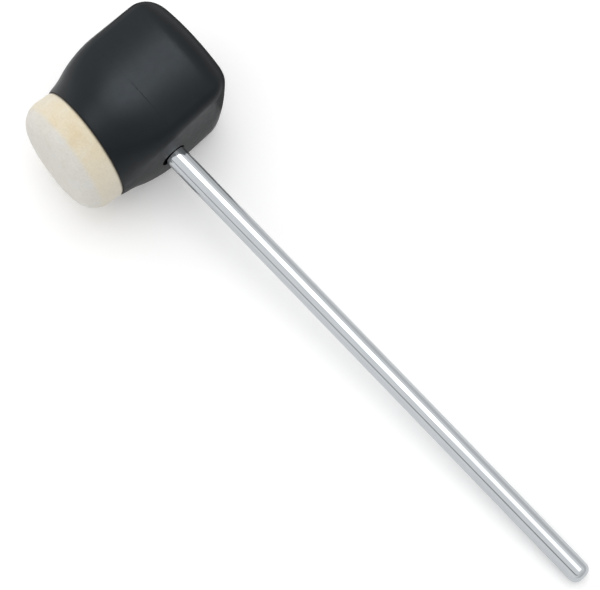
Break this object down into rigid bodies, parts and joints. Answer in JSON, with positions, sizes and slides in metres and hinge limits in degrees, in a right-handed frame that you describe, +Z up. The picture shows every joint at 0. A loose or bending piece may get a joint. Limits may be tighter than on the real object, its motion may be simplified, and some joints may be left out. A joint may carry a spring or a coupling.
{
  "type": "bass drum beater",
  "caption": "Reversible bass drum beater: a straight chromed shaft moulded into a black rounded head with a cream felt pad in front and a hard domed back.",
  "frame": {"origin": "the table under the middle of the lying beater's box", "axes": "+X along the beater to the shaft's free tip, -Y the side of the felt, +Y the side of the hard back, +Z up from the table"},
  "size_m": [0.2494, 0.0672, 0.0498],
  "materials": {
    "chrome_shaft": "polished chrome plate on a round steel rod",
    "black_moulding": "matt black moulding with a soft sheen",
    "glue": "dried contact glue",
    "felt": "dense pressed wool felt"
  },
  "bodies": {
    "root": {"shaft": "chrome_shaft", "head_body": "black_moulding", "felt_adhesive": "glue", "felt_pad": "felt"}
  },
  "joints": []
}
